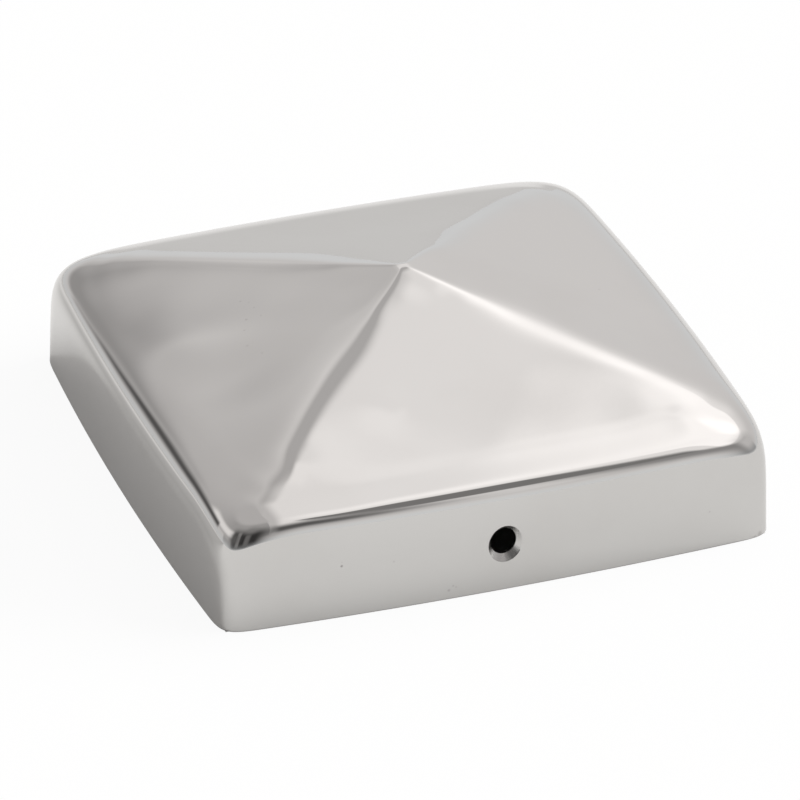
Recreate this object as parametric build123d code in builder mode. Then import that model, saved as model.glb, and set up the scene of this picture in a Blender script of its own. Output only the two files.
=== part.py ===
from build123d import *

import os
from math import atan, atan2, cos, degrees, radians, sin, sqrt, tan

# Pyramid post cap, drawn from one stainless sheet and open below.
# The origin is the centre of the rim plane, +Z runs up through the apex,
# and the two screw holes are in the -Y and +Y sides.
# All sizes are in millimetres and degrees.

# Square timber post that the cap goes over
post_width = 90.0
post_gap = 0.2  # room on each side, at the edges of the post
side_bow = 1.5  # how far the middle of a side stands out past those edges

# Pressed sheet
sheet = 1.2
skirt_height = 18.9  # rim to the sharp line where skirt and roof would meet
roof_rise = 14.4  # that line to the sharp tip of the pyramid
eave_radius = 6.8  # outside of the bend between skirt and roof
rim_corner = 4.5  # outside corner radius at the rim
shoulder_corner = 7.9  # the same at the top of the skirt, where the sheet is gathered
foot_corner = 7.0  # the same at the foot of the roof, from where the hips run to the tip
bend_levels = 8  # outlines up the bend

# Countersunk screw holes
hole_height = 8.6  # above the rim
hole_diameter = 4.2
hole_land = 0.2  # straight wall left under the countersink
sink_angle = 90.0

quarter = 90.0
half_width = post_width / 2 + post_gap + side_bow + sheet
roof_slope = atan(roof_rise / half_width)
bend_turn = radians(quarter) - roof_slope
bend_height = skirt_height - eave_radius * tan(bend_turn / 2)
sink_radius = hole_diameter / 2 + (sheet - hole_land) * tan(radians(sink_angle / 2))


def bowed_outline(height, half, bow, corner):
    """Outline at one height: four sides that bow out and four round corners."""
    bow_radius = ((post_width / 2) ** 2 + bow**2) / (2 * bow)
    side_centre = half - bow_radius
    corner_centre = (side_centre + sqrt(2 * (bow_radius - corner) ** 2 - side_centre**2)) / 2
    swing = degrees(atan2(corner_centre, corner_centre - side_centre))
    with BuildSketch(Plane.XY.offset(height)) as outline:
        with BuildLine():
            for side in range(4):
                turn = side * quarter
                bow_point = Vector(side_centre, 0).rotate(Axis.Z, turn)
                corner_point = Vector(corner_centre, corner_centre).rotate(Axis.Z, turn)
                CenterArc(bow_point, bow_radius, turn - swing, 2 * swing)
                CenterArc(corner_point, corner, turn + swing, quarter - 2 * swing)
        make_face()
    return outline.sketch


def cap_form(depth):
    """Solid inside the skin that lies depth below the outside of the cap."""
    bend = eave_radius - depth
    outlines = [bowed_outline(0, half_width - depth, side_bow, rim_corner - depth)]
    # The bow of the sides fades out up the bend, so the roof has flat faces
    for level in range(bend_levels):
        part_way = level / bend_levels
        turn = bend_turn * part_way
        half = half_width - eave_radius + bend * cos(turn)
        corner = shoulder_corner + (foot_corner - shoulder_corner) * part_way - depth
        bow = side_bow * (1 - part_way)
        outlines.append(bowed_outline(bend_height + bend * sin(turn), half, bow, corner))
    foot_height = bend_height + bend * sin(bend_turn)
    foot_width = 2 * (half_width - eave_radius + bend * cos(bend_turn))
    tip = Vertex(0, 0, skirt_height + roof_rise - depth / cos(roof_slope))
    with BuildPart() as form:
        with BuildSketch(Plane.XY.offset(foot_height)) as foot:
            RectangleRounded(foot_width, foot_width, foot_corner - depth)
        loft(outlines + [foot.sketch], ruled=True)
        loft([foot.sketch, tip], ruled=True)
    return form.part


with BuildPart() as post_cap:
    add(cap_form(0))
    add(cap_form(sheet), mode=Mode.SUBTRACT)
    for outward in (-1, 1):
        hole_face = Plane((0, outward * half_width, hole_height), z_dir=(0, outward, 0))
        with Locations(hole_face):
            CounterSinkHole(hole_diameter / 2, sink_radius, half_width, sink_angle)

post_cap.part.label = "post_cap"
os.makedirs("parts", exist_ok=True)
export_step(post_cap.part, "parts/post_cap.step")
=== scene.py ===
import math

import bmesh
import bpy
from mathutils import Matrix, Vector, noise


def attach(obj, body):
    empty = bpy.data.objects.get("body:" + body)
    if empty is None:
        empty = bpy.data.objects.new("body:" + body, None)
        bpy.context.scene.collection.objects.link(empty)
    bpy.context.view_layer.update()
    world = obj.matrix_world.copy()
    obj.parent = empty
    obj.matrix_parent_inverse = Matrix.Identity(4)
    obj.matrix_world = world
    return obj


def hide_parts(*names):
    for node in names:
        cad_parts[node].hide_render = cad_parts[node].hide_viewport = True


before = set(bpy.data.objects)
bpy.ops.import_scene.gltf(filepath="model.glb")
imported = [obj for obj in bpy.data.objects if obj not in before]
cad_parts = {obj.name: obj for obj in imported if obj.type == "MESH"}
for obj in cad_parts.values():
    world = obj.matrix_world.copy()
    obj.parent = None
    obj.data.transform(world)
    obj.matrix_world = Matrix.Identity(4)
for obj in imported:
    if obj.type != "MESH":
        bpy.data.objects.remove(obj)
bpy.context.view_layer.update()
mm = 0.001

# Pressed cap: one skin outside, one inside, joined at the rim and the two holes, in millimetres
cap = {
    "half": 47.9,  # middle of a side
    "bow": 676.5,  # radius of the sides, seen from above
    "sheet": 1.2,
    "skirt": 18.9,  # rim to the line where skirt and roof would meet
    "rise": 14.4,
    "bendReach": 9.15,  # from that line to where the bend begins, each way
    "bendPull": 0.933,  # how far the bend is pulled into that line
    "cornerPull": 0.893,
    "cornerReach": 1.746,  # reach of a pulled corner for a corner radius of 1
    "rimEdge": 0.18,
    "rimEase": 0.3,  # how far the rim's edge is eased, as a share of it
    "tipRound": 0.3,
    "tipShare": 0.35,  # last step up to the tip, as a share of the step before
    "leastCorner": 0.05,
    "mostReach": 0.85,  # longest corner, as a share of the half width
    "crease": 30,  # edges sharper than this stay sharp, in degrees
    "sideSteps": 64,
    "cornerSteps": 40,
    "skirtSteps": 18,
    "bendSteps": 36,
    "roofSteps": 72,
    "insideThin": 3,  # the inside has fewer rows over bend and roof
}
# Corner radius along the sheet, from the rim to the tip
cornerRoll = [
    (0.0, 3.55), (12.3, 5.38), (22.0, 9.16), (26.0, 6.89), (32.0, 4.82), (43.0, 4.49), (50.0, 4.88),
    (55.0, 3.54), (59.0, 1.7), (65.0, 0.8), (67.8, 0.05),
]
# Shallow unevenness of the pressed roof: x, y, radius and lift
roofDents = [
    (-28.8, -47.3, 7.8, -0.239), (0.0, -36.3, 9.6, 0.128), (22.5, -34.0, 7.5, -0.176),
    (1.6, -4.2, 4.2, 0.114), (32.3, -30.3, 11.5, 0.250), (-34.6, 2.9, 7.2, 0.250),
    (-35.2, 30.8, 5.0, 0.087), (-40.1, -7.8, 14.9, 0.167), (-15.0, 5.8, 7.1, -0.132),
    (-38.0, -31.0, 7.8, -0.204), (-26.3, -24.7, 12.6, 0.230), (-43.7, 30.6, 9.8, -0.248),
    (-38.0, 6.3, 5.5, 0.249), (-46.8, 6.8, 6.6, -0.068), (-38.2, 12.3, 4.9, 0.146),
    (-41.3, 23.3, 6.9, -0.046), (-22.0, 12.1, 9.9, -0.191), (-32.5, -10.0, 8.4, -0.250),
    (-11.2, 1.2, 8.6, -0.191), (-46.8, -18.8, 14.5, 0.057), (-7.1, -3.2, 6.3, -0.145),
    (-13.0, -28.0, 4.2, 0.114), (19.5, -29.2, 13.1, 0.225), (15.5, -29.1, 6.6, -0.115),
    (34.5, -41.5, 3.5, 0.210), (-31.0, -36.3, 3.6, 0.164),
]
dentFrom = (17.5, 20.5)  # heights over which the unevenness grows
pressRipple = {"length": 17.0, "lift": 0.03}
hole = {
    "height": 8.6,
    "radius": (2.13, 2.3),  # across and up: the punch left it a little oval
    "sink": (2.84, 3.3),
    "sinkRight": 0.07,  # the countersink is a little off the hole
    "sinkDown": 0.18,
    "land": 0.45,
    "around": (3.35, 3.75),  # loop of skirt round the countersink
    "patchWide": 4.0,  # half size of the piece of skirt that is remade round a hole
    "patchTall": 4.0,
    "patchDeep": 0.5,  # how far from the skin its faces are looked for
}
slope = math.atan(cap["rise"] / cap["half"])
sideSpots = cap["sideSteps"] + cap["cornerSteps"]


def rollAt(along):
    # smooth curve through the corner radii
    rows = cornerRoll
    for i in range(len(rows) - 1):
        (a, ra), (b, rb) = rows[i], rows[i + 1]
        if along <= b:
            before = rows[max(i - 1, 0)]
            after = rows[min(i + 2, len(rows) - 1)]
            riseA = (rb - before[1]) / (b - before[0]) * (b - a)
            riseB = (after[1] - ra) / (after[0] - a) * (b - a)
            t = (along - a) / (b - a)
            keep = 2 * t**3 - 3 * t * t + 1
            return keep * ra + (1 - keep) * rb + (t**3 - 2 * t * t + t) * riseA + (t**3 - t * t) * riseB
    return rows[-1][1]


def pulledCurve(start, startHandle, endHandle, end, steps):
    # points and tangents of one smooth bend
    rows = []
    for i in range(steps + 1):
        t = i / steps
        s = 1 - t
        point = s**3 * start + 3 * s * s * t * startHandle + 3 * s * t * t * endHandle + t**3 * end
        ahead = s * s * (startHandle - start) + 2 * s * t * (endHandle - startHandle)
        ahead += t * t * (end - endHandle)
        rows.append((point, ahead.normalized()))
    return rows


def capSection(thin):
    # inset and height, with the tangent there, from the rim to the tip
    up = Vector((0, 1))
    edge = cap["rimEdge"]
    eased = edge * cap["rimEase"]
    eave = Vector((0, cap["skirt"]))
    climb = Vector((math.cos(slope), math.sin(slope)))
    start = eave - up * cap["bendReach"]
    end = eave + climb * cap["bendReach"]
    rows = [(Vector((edge, 0)), up), (Vector((eased, eased)), up), (Vector((0, edge)), up)]
    for i in range(1, cap["skirtSteps"]):
        rows.append((start * i / cap["skirtSteps"], up))
    left = 1 - cap["bendPull"]
    startHandle = eave + left * (start - eave)
    endHandle = eave + left * (end - eave)
    rows += pulledCurve(start, startHandle, endHandle, end, cap["bendSteps"] // thin)
    foot = cap["half"] - end.x
    tip = cap["tipRound"]
    steps = cap["roofSteps"] // thin
    for i in range(1, steps):
        w = foot * (1 - i / steps)
        lift = math.sqrt(foot * foot + tip * tip) - math.sqrt(w * w + tip * tip)
        rows.append((Vector((cap["half"] - w, end.y + lift * math.tan(slope))), climb))
    return rows


def capLevels(depth):
    # half width, height, bow radius and corner reach of each ring
    levels = []
    rows = capSection(cap["insideThin"] if depth else 1)
    foot = cap["half"] - cap["bendReach"] * math.cos(slope)
    along = 0
    last = rows[0][0]
    for point, ahead in rows:
        along += (point - last).length
        last = point
        inset = -point.x if depth and point.y < cap["rimEdge"] else point.x
        half = cap["half"] - inset - depth * ahead.y
        bow = (cap["bow"] - cap["half"] + foot) * min(half / foot, 1) + max(half - foot, 0)
        reach = cap["cornerReach"] * max(rollAt(along) - depth, cap["leastCorner"])
        levels.append((half, point.y - depth * ahead.x, bow, min(reach, cap["mostReach"] * half)))
    return levels


def bowedOutline(half, bow, reach):
    # four bowed sides and four pulled corners, starting in the +X side
    middle = half - bow
    corner = math.pi / 4 + math.asin(middle / (math.sqrt(2) * bow))
    swing = corner - reach / bow
    start = Vector((middle + bow * math.cos(swing), bow * math.sin(swing)))
    handle = cap["cornerPull"] * (start.x - start.y) / (math.sin(swing) + math.cos(swing))
    startHandle = start + handle * Vector((-math.sin(swing), math.cos(swing)))
    bend = pulledCurve(start, startHandle, startHandle.yx, start.yx, cap["cornerSteps"])
    spots = []
    for side in range(4):
        spin = Matrix.Rotation(side * math.pi / 2, 2)
        for k in range(cap["sideSteps"]):
            a = swing * (2 * k / cap["sideSteps"] - 1)
            spots.append(spin @ Vector((middle + bow * math.cos(a), bow * math.sin(a))))
        spots += [spin @ point for point, ahead in bend[:-1]]
    return spots


def placeRing(verts, spot, level):
    half, z, bow, reach = level
    spots = bowedOutline(half, bow, reach)
    for v in verts:
        p = spots[v[spot]]
        v.co = Vector((p.x, p.y, z)) * mm


def ringEdges(verts):
    ring = set(verts)
    around = dict.fromkeys(e for v in verts for e in v.link_edges)  # each edge once, in a fixed order
    return [e for e in around if e.verts[0] in ring and e.verts[1] in ring]


def pullLoop(bm, edges):
    made = bmesh.ops.extrude_edge_only(bm, edges=edges)["geom"]
    return [g for g in made if isinstance(g, bmesh.types.BMVert)]


def drawSkin(bm, spot, depth):
    levels = capLevels(depth)
    ring = bmesh.ops.create_circle(bm, segments=4 * sideSpots, radius=cap["half"] * mm)["verts"]
    for k, v in enumerate(ring):
        v[spot] = k
    placeRing(ring, spot, levels[0])
    rim = ringEdges(ring)
    edges = rim
    for level in levels[1:]:
        ring = pullLoop(bm, edges)
        placeRing(ring, spot, level)
        edges = ringEdges(ring)
    top = levels[-1][1] + (levels[-1][1] - levels[-2][1]) * cap["tipShare"]
    bmesh.ops.pointmerge(bm, verts=ring, merge_co=Vector((0, 0, top * mm)))
    return rim


def skinAt(levels, x, z):
    # distance of the skin from the middle plane, on the skirt
    for (halfA, zA, bow, reach), (halfB, zB, bowB, reachB) in zip(levels, levels[1:]):
        if z <= zB:
            half = halfA + (halfB - halfA) * (z - zA) / (zB - zA)
            return half - bow + math.sqrt(bow * bow - x * x)


def openPatch(bm, side, depth):
    # takes out the square of skin round a hole and gives its edge loop
    y = side * (cap["half"] - depth) * mm
    patch = []
    for f in bm.faces:
        p = f.calc_center_median()
        level = abs(p.z - hole["height"] * mm) < hole["patchTall"] * mm
        if level and abs(p.x) < hole["patchWide"] * mm and abs(p.y - y) < hole["patchDeep"] * mm:
            patch.append(f)
    inner = dict.fromkeys(e for f in patch for e in f.edges)
    loop = [e for e in inner if sum(f in patch for f in e.link_faces) == 1]
    bmesh.ops.delete(bm, geom=patch, context="FACES")
    return loop


def pullToOval(bm, edges, side, levels, seen, centre, size):
    # next loop of a hole: each vertex keeps its bearing round the centre it had
    verts = pullLoop(bm, edges)
    for v in verts:
        a = math.atan2(v.co.z / mm - seen[1], v.co.x / mm - seen[0])
        x = centre[0] + size[0] * math.cos(a)
        z = centre[1] + size[1] * math.sin(a)
        v.co = Vector((x, side * skinAt(levels, x, z), z)) * mm
    return ringEdges(verts)


def pressHole(bm, side):
    outer = capLevels(0)
    neck = capLevels(cap["sheet"] - hole["land"])
    inner = capLevels(cap["sheet"])
    inside = openPatch(bm, side, cap["sheet"])
    edges = openPatch(bm, side, 0)
    centre = (0, hole["height"])
    sinkCentre = (hole["sinkRight"], hole["height"] - hole["sinkDown"])
    edges = pullToOval(bm, edges, side, outer, centre, sinkCentre, hole["around"])
    edges = pullToOval(bm, edges, side, outer, sinkCentre, sinkCentre, hole["sink"])
    edges = pullToOval(bm, edges, side, neck, sinkCentre, centre, hole["radius"])
    back = pullToOval(bm, inside, side, inner, centre, centre, hole["radius"])
    bmesh.ops.bridge_loops(bm, edges=edges + back)


def dentRoof(bm):
    # both skins move together, so the sheet keeps its thickness
    low, high = dentFrom
    for v in bm.verts:
        t = min(max((v.co.z / mm - low) / (high - low), 0), 1)
        wave = Vector((v.co.x, v.co.y, 0)) / (pressRipple["length"] * mm)
        lift = pressRipple["lift"] * noise.noise(wave)
        for x, y, radius, depth in roofDents:
            away = (v.co.x / mm - x) ** 2 + (v.co.y / mm - y) ** 2
            lift += depth * math.exp(-away / radius**2)
        v.co.z += lift * t * t * (3 - 2 * t) * mm


def makeCap():
    bm = bmesh.new()
    spot = bm.verts.layers.int.new("spot")
    outerRim = drawSkin(bm, spot, 0)
    innerRim = drawSkin(bm, spot, cap["sheet"])
    bmesh.ops.bridge_loops(bm, edges=outerRim + innerRim)
    for side in (-1, 1):
        pressHole(bm, side)
    dentRoof(bm)
    bmesh.ops.recalc_face_normals(bm, faces=bm.faces)
    for f in bm.faces:
        f.smooth = True
    for e in bm.edges:
        if len(e.link_faces) == 2 and e.calc_face_angle() > math.radians(cap["crease"]):
            e.smooth = False
    bm.verts.layers.int.remove(spot)
    mesh = bpy.data.meshes.new("polished_cap")
    bm.to_mesh(mesh)
    print("cap mesh", len(bm.verts), "vertices", sum(len(f.verts) - 2 for f in bm.faces), "triangles",
          "open edges", sum(e.is_boundary for e in bm.edges))
    bm.free()
    piece = bpy.data.objects.new("polished_cap", mesh)
    bpy.context.scene.collection.objects.link(piece)
    return piece


# Small node helpers
def mathNode(tree, operation, a, b=None, c=None):
    node = tree.nodes.new("ShaderNodeMath")
    node.operation = operation
    for socket, value in zip(node.inputs, (a, b, c)):
        if value is None:
            continue
        if isinstance(value, (int, float)):
            socket.default_value = value
        else:
            tree.links.new(value, socket)
    return node.outputs[0]


def softStep(tree, value, low, high, a, b):
    node = tree.nodes.new("ShaderNodeMapRange")
    node.interpolation_type = "SMOOTHSTEP"
    tree.links.new(value, node.inputs["Value"])
    node.inputs["From Min"].default_value = low
    node.inputs["From Max"].default_value = high
    node.inputs["To Min"].default_value = a
    node.inputs["To Max"].default_value = b
    return node.outputs["Result"]


def lay(tree, level, strength, mask):
    mix = tree.nodes.new("ShaderNodeMix")
    tree.links.new(mask, mix.inputs["Factor"])
    tree.links.new(level, mix.inputs["A"])
    mix.inputs["B"].default_value = strength
    return mix.outputs["Result"]


def tint(tree, a, b, mask):
    mix = tree.nodes.new("ShaderNodeMix")
    mix.data_type = "RGBA"
    tree.links.new(mask, mix.inputs["Factor"])
    for socket, value in ((mix.inputs[6], a), (mix.inputs[7], b)):
        if isinstance(value, tuple):
            socket.default_value = value
        else:
            tree.links.new(value, socket)
    return mix.outputs[2]


# Mirror polished stainless
steel = {
    "colour": (0.597, 0.590, 0.577, 1.0),
    "shade": (0.575, 0.566, 0.552, 1.0),  # faint cloudiness of the polish
    "cloud": 38.0,
    "cloudDetail": 4.0,
    "glossFrom": (0.3, 0.7),  # cloud values over which gloss and shade change
    "shadeFrom": (0.4, 0.75),
    "gloss": (0.02, 0.04),
    "sinkSide": 0.9,  # the countersinks are further out than this share of the half width
    "sinkEdge": 0.99,
    "sinkGloss": 0.26,  # the countersinks are cut after polishing
    "peel": 420.0,  # ripples per metre left by the press tool
    "peelDepth": 0.0000012,
    "peelDetail": 2.0,
    "rimBand": 0.00022,  # height of the band along the bottom of the rim that is painted darker and rougher
    "rimBandShare": 0.8,
    "rimBandFade": (0.5, 1.3),  # softness of that edge, as shares of its height
    # colour of the pits and marks, also painted on the band along the bottom of the rim
    "dull": (0.30, 0.29, 0.28, 1.0),
    "dullGloss": 0.32,
    "specks": 210.0,
    "speckSize": 0.034,
    "speckShare": 0.16,
    "speckDepth": 0.22,
    "speckFade": (0.6, 1.6),  # softness of a speck and of a mark, as shares of its size
    "markFade": (0.35, 1.35),
    "marks": [  # place, radius and darkness of single pits and smudges, in millimetres
        ((-27.02, -47.36, 9.45), 0.23, 0.85),
        ((-26.98, -47.36, 10.15), 0.12, 0.25),
        ((-9.3, -47.85, 1.7), 0.28, 0.35),
        ((-8.6, -47.85, 2.4), 0.2, 0.3),
        ((-8.1, -47.85, 2.1), 0.2, 0.22),
        ((44.1, -45.8, 0.5), 0.55, 0.5),
        ((44.9, -45.1, 0.9), 0.35, 0.4),
        ((43.2, -46.1, 0.2), 0.4, 0.6),
        ((35.0, -47.05, 6.9), 0.2, 0.25),
        ((-24.4, 9.6, 25.9), 0.25, 0.2),
        ((-23.4, 8.4, 26.2), 0.2, 0.18),
        ((-23.2, 6.3, 26.3), 0.22, 0.2),
        ((-25.3, 3.9, 25.7), 0.3, 0.2),
        ((-23.0, 3.4, 26.4), 0.22, 0.16),
        ((-26.5, 1.2, 25.3), 0.25, 0.18),
        ((-27.5, -3.1, 25.0), 0.28, 0.16),
        ((-26.2, -6.6, 25.4), 0.2, 0.16),
    ],
}


def sinkMask(tree, axes):
    # 1 inside the countersinks
    x, y, z = axes
    across = mathNode(tree, "DIVIDE", x, hole["sink"][0] * mm)
    middle = (hole["height"] - hole["sinkDown"]) * mm
    up = mathNode(tree, "DIVIDE", mathNode(tree, "SUBTRACT", z, middle), hole["sink"][1] * mm)
    away = mathNode(tree, "MULTIPLY_ADD", across, across, mathNode(tree, "MULTIPLY", up, up))
    side = mathNode(tree, "GREATER_THAN", mathNode(tree, "ABSOLUTE", y), cap["half"] * steel["sinkSide"] * mm)
    return mathNode(tree, "MULTIPLY", mathNode(tree, "LESS_THAN", away, steel["sinkEdge"]), side)


def polishedSteel():
    mat = bpy.data.materials.new("polished_steel")
    mat.use_nodes = True
    tree = mat.node_tree
    shader = tree.nodes["Principled BSDF"]
    shader.inputs["Metallic"].default_value = 1.0
    place = tree.nodes.new("ShaderNodeTexCoord").outputs["Object"]
    cloud = tree.nodes.new("ShaderNodeTexNoise")
    cloud.inputs["Scale"].default_value = steel["cloud"]
    cloud.inputs["Detail"].default_value = steel["cloudDetail"]
    tree.links.new(place, cloud.inputs["Vector"])
    gloss = softStep(tree, cloud.outputs["Fac"], *steel["glossFrom"], *steel["gloss"])
    shaded = softStep(tree, cloud.outputs["Fac"], *steel["shadeFrom"], 0, 1)
    colour = tint(tree, steel["colour"], steel["shade"], shaded)
    # tiny pits, in a few cells only
    specks = tree.nodes.new("ShaderNodeTexVoronoi")
    specks.inputs["Scale"].default_value = steel["specks"]
    tree.links.new(place, specks.inputs["Vector"])
    few = tree.nodes.new("ShaderNodeSeparateColor")
    tree.links.new(specks.outputs["Color"], few.inputs[0])
    chosen = mathNode(tree, "LESS_THAN", few.outputs[0], steel["speckShare"])
    low, high = (steel["speckSize"] * share for share in steel["speckFade"])
    spot = softStep(tree, specks.outputs["Distance"], low, high, steel["speckDepth"], 0)
    darkened = mathNode(tree, "MULTIPLY", spot, chosen)
    # single marks, and a band along the bottom of the rim painted darker and rougher
    for at, radius, dark in steel["marks"]:
        gap = tree.nodes.new("ShaderNodeVectorMath")
        gap.operation = "DISTANCE"
        tree.links.new(place, gap.inputs[0])
        gap.inputs[1].default_value = Vector(at) * mm
        low, high = (radius * share * mm for share in steel["markFade"])
        mark = softStep(tree, gap.outputs["Value"], low, high, dark, 0)
        darkened = mathNode(tree, "MAXIMUM", darkened, mark)
    axes = tree.nodes.new("ShaderNodeSeparateXYZ")
    tree.links.new(place, axes.inputs[0])
    # band along the bottom of the rim, painted darker and rougher
    low, high = (steel["rimBand"] * share for share in steel["rimBandFade"])
    edge = softStep(tree, axes.outputs[2], low, high, steel["rimBandShare"], 0)
    darkened = mathNode(tree, "MAXIMUM", darkened, edge)
    dull = tint(tree, colour, steel["dull"], darkened)
    tree.links.new(dull, shader.inputs["Base Color"])
    gloss = lay(tree, gloss, steel["sinkGloss"], sinkMask(tree, axes.outputs))
    tree.links.new(lay(tree, gloss, steel["dullGloss"], darkened), shader.inputs["Roughness"])
    peel = tree.nodes.new("ShaderNodeTexNoise")
    peel.inputs["Scale"].default_value = steel["peel"]
    peel.inputs["Detail"].default_value = steel["peelDetail"]
    tree.links.new(place, peel.inputs["Vector"])
    bump = tree.nodes.new("ShaderNodeBump")
    bump.inputs["Strength"].default_value = 1.0
    bump.inputs["Distance"].default_value = steel["peelDepth"]
    tree.links.new(peel.outputs["Fac"], bump.inputs["Height"])
    tree.links.new(bump.outputs["Normal"], shader.inputs["Normal"])
    return mat


capPiece = makeCap()
capPiece.data.materials.append(polishedSteel())
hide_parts("post_cap")
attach(capPiece, "root")

# Room round the cap. Window and ceiling are given by slopes, cards by bearing from +Y towards +X,
# height, half width, half height, the softness of each and strength
room = {
    "leftWall": (-94, 0.518, 19.4, 0.81),  # bearing and strength, twice
    "table": (-33.7, 49.6, 3.9, 0.805),  # height, half height, softness and strength
    "ceiling": (0.06, 0.155, 1.212),
    "rightWall": (0.41, 1.018, 0.868),
    "rightFrom": (0.02, 0.1),  # how far right a way has to point to meet wall and window
    "window": (1.181, 0.064, 0.916, 2.893, 0.033, 1.62, 0.589),
    "cards": [
        ("ceiling on the left", -90, 84, 92, 20, 4, 6, 0.7),
        ("gap beside the window", 125.4, 17.2, 32.1, 17.6, 4.3, 4.3, 0.38),
        ("dark room behind the camera", 170.1, 27.5, 7.9, 13.7, 4.5, 10.5, 0.15),
        ("dark room right of the camera", 156.2, 41.6, 7.6, 9.8, 2.4, 1.8, 0.28),
        ("dark room left of the camera", -146.1, 20.6, 34.2, 23, 13, 15.4, 0.05),
        ("lit doorway left of the camera", -134, 22, 4.8, 18, 2.5, 6, 0.36),
        ("lit wall left of the camera", -155.5, 15, 4.8, 16, 3, 5, 0.2),
        ("left lamp strip", -78.7, 28.9, 34.7, 8.3, 6.3, 5.7, 1.13),
        ("left door gap", -46.9, 17.9, 19, 6.3, 2.7, 5.8, 0.13),
        ("left wall foot", -7.7, 22.6, 18.7, 8.4, 5.7, 5.1, 0.44),
        ("back wall foot", 21.9, 40.9, 17.2, 21.3, 13.5, 15.7, 1.14),
        ("ceiling shade", 17.7, 54.9, 9.4, 14.5, 5, 4.7, 0.64),
        ("glow left of the window", 38.5, 40, 1.9, 10.7, 13.9, 8.9, 2.05),
        ("bright pane", 74, 49, 18, 7, 8, 4, 1.85),
        ("ceiling glow", 35, 66, 8, 4.2, 4, 1.5, 1.3),
        ("right door edge", 102, 23.9, 20, 15.2, 10.2, 12.4, 0.78),
        ("lamp above the camera", 139.9, 60.4, 14.3, 5.1, 18, 5.9, 1.53),
        ("left shelf", -98.4, 9.4, 13.7, 6.4, 3.2, 6, 0.51),
        ("dark shelf in the corner", -123, 21.3, 12.3, 12.9, 14.4, 9.6, 0.15),
        ("corner glint", -157.6, 44.6, 8.7, 7.2, 8.8, 14, 0.31),
    ],
    "frontTable": ("front table", 157.6, -8.7, 17.7, 26.3, 18, 10.7, 0.96),
    "backdrop": (-2.0, 3.5),  # heights between which metal stops seeing the backdrop
    "backdropInMetal": 0.83,
    "warmFrom": (2.0, 14.0),
    "lowTint": (1.0, 1.008, 1.02, 1.0),
    "highTint": (1.0, 0.972, 0.966, 1.0),
}
floorLook = {
    "colour": (0.645, 0.645, 0.64, 1.0),
    "dim": (0.4, 0.398, 0.394, 1.0),  # the light falls off on the left and far behind
    "dimLeft": (0.053, 0.078),
    "dimBeside": (-0.045, -0.01, 0.06, 0.16),  # and only beside the cap
    "dimBehind": (0.15, 0.4),
    "behindShare": 0.6,
    "white": 0.93,
    "inMetal": 0.1,
    "size": 40.0,
    "segments": 96,
    "underCap": 0.0455,  # the floor isn't white inside this, where only the hole shows it
}
keySun = {"bearing": 96, "height": 30, "angle": 46, "strength": 4.3}


def layCard(tree, level, bearing, height, card):
    name, at, up, halfWide, halfTall, softWide, softTall, strength = card
    turn = mathNode(tree, "WRAP", mathNode(tree, "SUBTRACT", bearing, at), 180, -180)
    across = mathNode(tree, "ABSOLUTE", turn)
    along = mathNode(tree, "ABSOLUTE", mathNode(tree, "SUBTRACT", height, up))
    wide = softStep(tree, across, halfWide - softWide, halfWide + softWide, 1, 0)
    tall = softStep(tree, along, halfTall - softTall, halfTall + softTall, 1, 0)
    return lay(tree, level, strength, mathNode(tree, "MULTIPLY", wide, tall))


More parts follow.
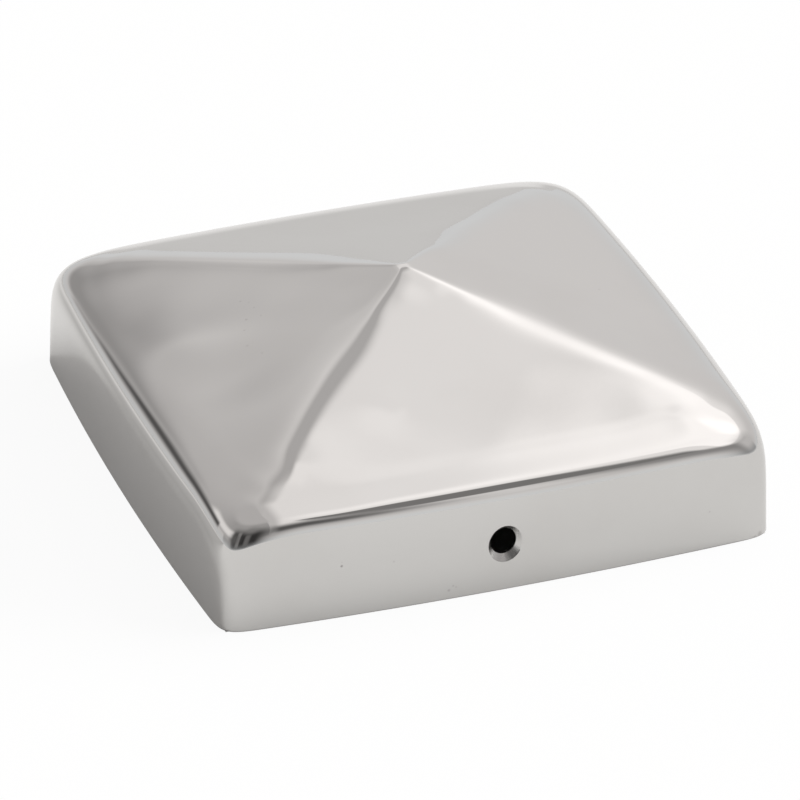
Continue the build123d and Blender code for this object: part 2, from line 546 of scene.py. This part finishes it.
def studioRoom():
    world = bpy.data.worlds.new("studio_room")
    bpy.context.scene.world = world
    world.use_nodes = True
    tree = world.node_tree
    way = tree.nodes.new("ShaderNodeTexCoord").outputs["Generated"]
    axes = tree.nodes.new("ShaderNodeSeparateXYZ")
    tree.links.new(way, axes.inputs[0])
    degrees = 180 / math.pi
    x, y, z = axes.outputs
    bearing = mathNode(tree, "MULTIPLY", mathNode(tree, "ARCTAN2", x, y), degrees)
    height = mathNode(tree, "MULTIPLY", mathNode(tree, "ARCSINE", z), degrees)
    farLeft, dim, nearLeft, pale = room["leftWall"]
    ramp = tree.nodes.new("ShaderNodeMapRange")
    tree.links.new(bearing, ramp.inputs["Value"])
    for socket, value in zip(ramp.inputs[1:5], (farLeft, nearLeft, dim, pale)):
        socket.default_value = value
    level = ramp.outputs["Result"]
    # right of the cap: ceiling, wall and window as flat panels on the +X side
    low, high, strength = room["ceiling"]
    level = lay(tree, level, strength, softStep(tree, mathNode(tree, "DIVIDE", x, z), low, high, 0, 1))
    up, half, soft, strength = room["table"]
    table = mathNode(tree, "ABSOLUTE", mathNode(tree, "SUBTRACT", height, up))
    level = lay(tree, level, strength, softStep(tree, table, half - soft, half + soft, 1, 0))
    right = softStep(tree, x, *room["rightFrom"], 0, 1)
    climb = mathNode(tree, "DIVIDE", z, x)
    low, high, strength = room["rightWall"]
    wall = mathNode(tree, "MULTIPLY", softStep(tree, climb, low, high, 1, 0), right)
    level = lay(tree, level, strength, wall)
    half, soft, low, high, edge, strength, topEdge = room["window"]
    aside = mathNode(tree, "ABSOLUTE", mathNode(tree, "DIVIDE", y, x))
    pane = mathNode(tree, "MULTIPLY", softStep(tree, aside, half - soft, half + soft, 1, 0), right)
    pane = mathNode(tree, "MULTIPLY", pane, softStep(tree, climb, low - edge, low + edge, 0, 1))
    pane = mathNode(tree, "MULTIPLY", pane, softStep(tree, climb, high - topEdge, high + topEdge, 1, 0))
    level = lay(tree, level, strength, pane)
    for card in room["cards"]:
        level = layCard(tree, level, bearing, height, card)
    # camera and glass see a white backdrop all round, metal sees it low down and the room above it
    path = tree.nodes.new("ShaderNodeLightPath")
    behind = softStep(tree, height, *room["backdrop"], 1, 0)
    inMetal = mathNode(tree, "MULTIPLY", path.outputs["Is Glossy Ray"], behind)
    level = lay(tree, level, room["backdropInMetal"], inMetal)
    level = layCard(tree, level, bearing, height, room["frontTable"])
    seen = mathNode(tree, "MAXIMUM", path.outputs["Is Camera Ray"], path.outputs["Is Transmission Ray"])
    back = tree.nodes["Background"]
    tree.links.new(lay(tree, level, 1.0, seen), back.inputs["Strength"])
    warm = softStep(tree, height, *room["warmFrom"], 0, 1)
    light = tint(tree, room["lowTint"], room["highTint"], warm)
    tree.links.new(tint(tree, light, (1.0, 1.0, 1.0, 1.0), seen), back.inputs["Color"])


def paleFloor():
    bm = bmesh.new()
    bmesh.ops.create_circle(bm, cap_ends=True, segments=floorLook["segments"], radius=floorLook["size"])
    mesh = bpy.data.meshes.new("floor")
    bm.to_mesh(mesh)
    bm.free()
    floor = bpy.data.objects.new("floor", mesh)
    bpy.context.scene.collection.objects.link(floor)
    mat = bpy.data.materials.new("pale_floor")
    mat.use_nodes = True
    tree = mat.node_tree
    tree.nodes.remove(tree.nodes["Principled BSDF"])
    matt = tree.nodes.new("ShaderNodeBsdfDiffuse")
    glow = tree.nodes.new("ShaderNodeEmission")
    mix = tree.nodes.new("ShaderNodeMixShader")
    path = tree.nodes.new("ShaderNodeLightPath")
    seen = mathNode(tree, "MAXIMUM", path.outputs["Is Camera Ray"], path.outputs["Is Transmission Ray"])
    place = tree.nodes.new("ShaderNodeSeparateXYZ")
    tree.links.new(tree.nodes.new("ShaderNodeTexCoord").outputs["Object"], place.inputs[0])
    toLeft = mathNode(tree, "MULTIPLY", place.outputs[0], -1)
    left = softStep(tree, toLeft, *floorLook["dimLeft"], 0, 1)
    front, frontEnd, far, farEnd = floorLook["dimBeside"]
    left = mathNode(tree, "MULTIPLY", left, softStep(tree, place.outputs[1], front, frontEnd, 0, 1))
    left = mathNode(tree, "MULTIPLY", left, softStep(tree, place.outputs[1], far, farEnd, 1, 0))
    behind = softStep(tree, place.outputs[1], *floorLook["dimBehind"], 0, floorLook["behindShare"])
    pale = tint(tree, floorLook["colour"], floorLook["dim"], mathNode(tree, "MAXIMUM", left, behind))
    tree.links.new(pale, matt.inputs["Color"])
    across = mathNode(tree, "ABSOLUTE", place.outputs[0])
    along = mathNode(tree, "ABSOLUTE", place.outputs[1])
    away = mathNode(tree, "GREATER_THAN", mathNode(tree, "MAXIMUM", across, along), floorLook["underCap"])
    white = mathNode(tree, "MULTIPLY", seen, floorLook["white"])
    inMetal = mathNode(tree, "MULTIPLY", path.outputs["Is Glossy Ray"], floorLook["inMetal"])
    white = mathNode(tree, "MAXIMUM", white, inMetal)
    tree.links.new(mathNode(tree, "MULTIPLY", white, away), mix.inputs[0])
    tree.links.new(matt.outputs[0], mix.inputs[1])
    tree.links.new(glow.outputs[0], mix.inputs[2])
    tree.links.new(mix.outputs[0], tree.nodes["Material Output"].inputs["Surface"])
    mesh.materials.append(mat)


def softSun():
    az = math.radians(keySun["bearing"])
    el = math.radians(keySun["height"])
    way = Vector((math.sin(az) * math.cos(el), math.cos(az) * math.cos(el), math.sin(el)))
    data = bpy.data.lights.new("key_sun", "SUN")
    data.angle = math.radians(keySun["angle"])
    data.energy = keySun["strength"]
    lamp = bpy.data.objects.new("key_sun", data)
    lamp.matrix_world = Matrix.Translation(way) @ way.to_track_quat("Z", "Y").to_matrix().to_4x4()
    lamp.visible_camera = False
    lamp.visible_glossy = False
    bpy.context.scene.collection.objects.link(lamp)


studioRoom()
paleFloor()
softSun()
print("room and floor done")

# Camera of the photograph, in degrees, metres and millimetres of lens
shot = {
    "bearing": -20.092,
    "height": 30.752,
    "roll": 0.5776,
    "distance": 1.1863,
    "lens": 327.7,
    "sensor": 36,
    "aimUp": 0.00693,
    "aimRight": -0.00022,
}


def photoCamera():
    az = math.radians(shot["bearing"])
    el = math.radians(shot["height"])
    roll = math.radians(shot["roll"])
    back = Vector((math.sin(az) * math.cos(el), -math.cos(az) * math.cos(el), math.sin(el)))
    right = Vector((math.cos(az), math.sin(az), 0))
    up = back.cross(right)
    tiltRight = right * math.cos(roll) + up * math.sin(roll)
    tiltUp = up * math.cos(roll) - right * math.sin(roll)
    spot = back * shot["distance"]
    aim = tiltUp * shot["aimUp"] + tiltRight * shot["aimRight"]
    away = (spot - aim).normalized()
    side = (tiltRight - away * tiltRight.dot(away)).normalized()
    turned = Matrix((side, away.cross(side), away)).transposed().to_4x4()
    data = bpy.data.cameras.new("photo_camera")
    data.lens = shot["lens"]
    data.sensor_width = shot["sensor"]
    camera = bpy.data.objects.new("photo_camera", data)
    camera.matrix_world = Matrix.Translation(spot) @ turned
    bpy.context.scene.collection.objects.link(camera)
    bpy.context.scene.camera = camera


photoCamera()
bpy.context.scene.view_settings.view_transform = "Standard"
print("camera done")
